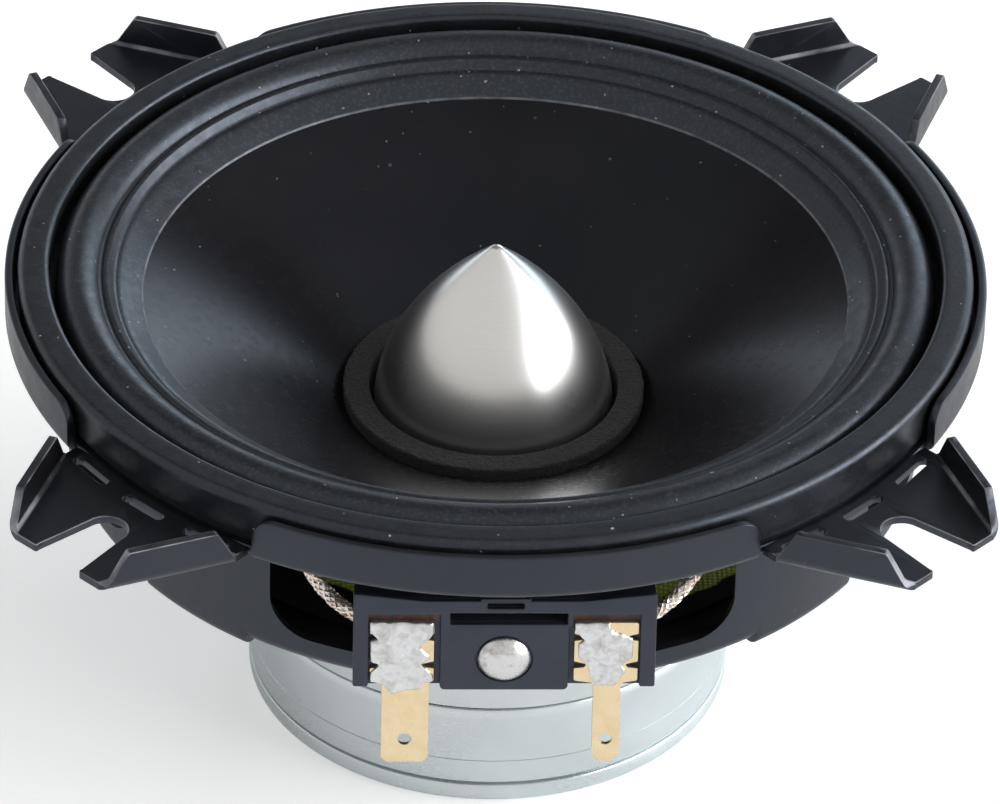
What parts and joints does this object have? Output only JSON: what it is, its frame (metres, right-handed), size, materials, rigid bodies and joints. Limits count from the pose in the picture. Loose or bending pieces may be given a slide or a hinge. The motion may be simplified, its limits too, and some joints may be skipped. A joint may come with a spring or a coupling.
{
  "type": "car mid-woofer driver",
  "caption": "Round car mid-woofer with a stamped basket, forked mounting ears, rubber surround, fixed metal phase plug and push-on terminals.",
  "frame": {"origin": "centre of the magnet's back face", "axes": "+Z along the axis towards the listener, -Y towards the terminals"},
  "size_m": [0.1016, 0.1016, 0.0531],
  "materials": {
    "basket": "semi-gloss black powder coat",
    "front_gasket": "matt black rubber",
    "surround": "matt black rubber",
    "spider": "yellow-green resin-dipped cloth",
    "steel": "bright zinc plate",
    "ferrite": "dark grey sintered ferrite",
    "rivet_steel": "bright rivet steel",
    "plug": "satin turned aluminium",
    "screw": "blackened steel",
    "board": "black moulded plastic",
    "blade": "pale gold-plated brass",
    "solder": "bright solder",
    "lead": "silvered copper braid",
    "cone": "satin black coated cone",
    "felt": "dark felt",
    "former": "amber film",
    "winding": "enamelled copper wire",
    "collar": "kraft paper",
    "glue": "black glue"
  },
  "bodies": {
    "chassis": {"basket": "basket", "front_gasket": "front_gasket", "surround": "surround", "spider": "spider", "top_plate": "steel", "magnet": "ferrite", "yoke": "steel", "magnet_sleeve": "steel", "basket_rivets": "rivet_steel", "phase_plug": "plug", "plug_screw": "screw", "terminal_board": "board", "terminal_rivet": "rivet_steel", "terminal_positive": "blade", "terminal_negative": "blade", "solder_positive": "solder", "solder_negative": "solder", "lead_positive": "lead", "lead_negative": "lead"},
    "cone_assembly": {"cone": "cone", "dust_ring": "felt", "voice_coil_former": "former", "voice_coil_winding": "winding", "former_collar": "collar", "neck_glue": "glue", "spider_glue": "glue", "lead_anchors": "glue"}
  },
  "joints": [
    {"name": "cone_travel", "type": "slide", "parent": "chassis", "child": "cone_assembly", "axis": [0, 0, 1], "range_m": [-0.003, 0.003], "stiffness_N_per_m": 1500, "deforming": ["surround", "spider", "lead_positive", "lead_negative"]}
  ]
}
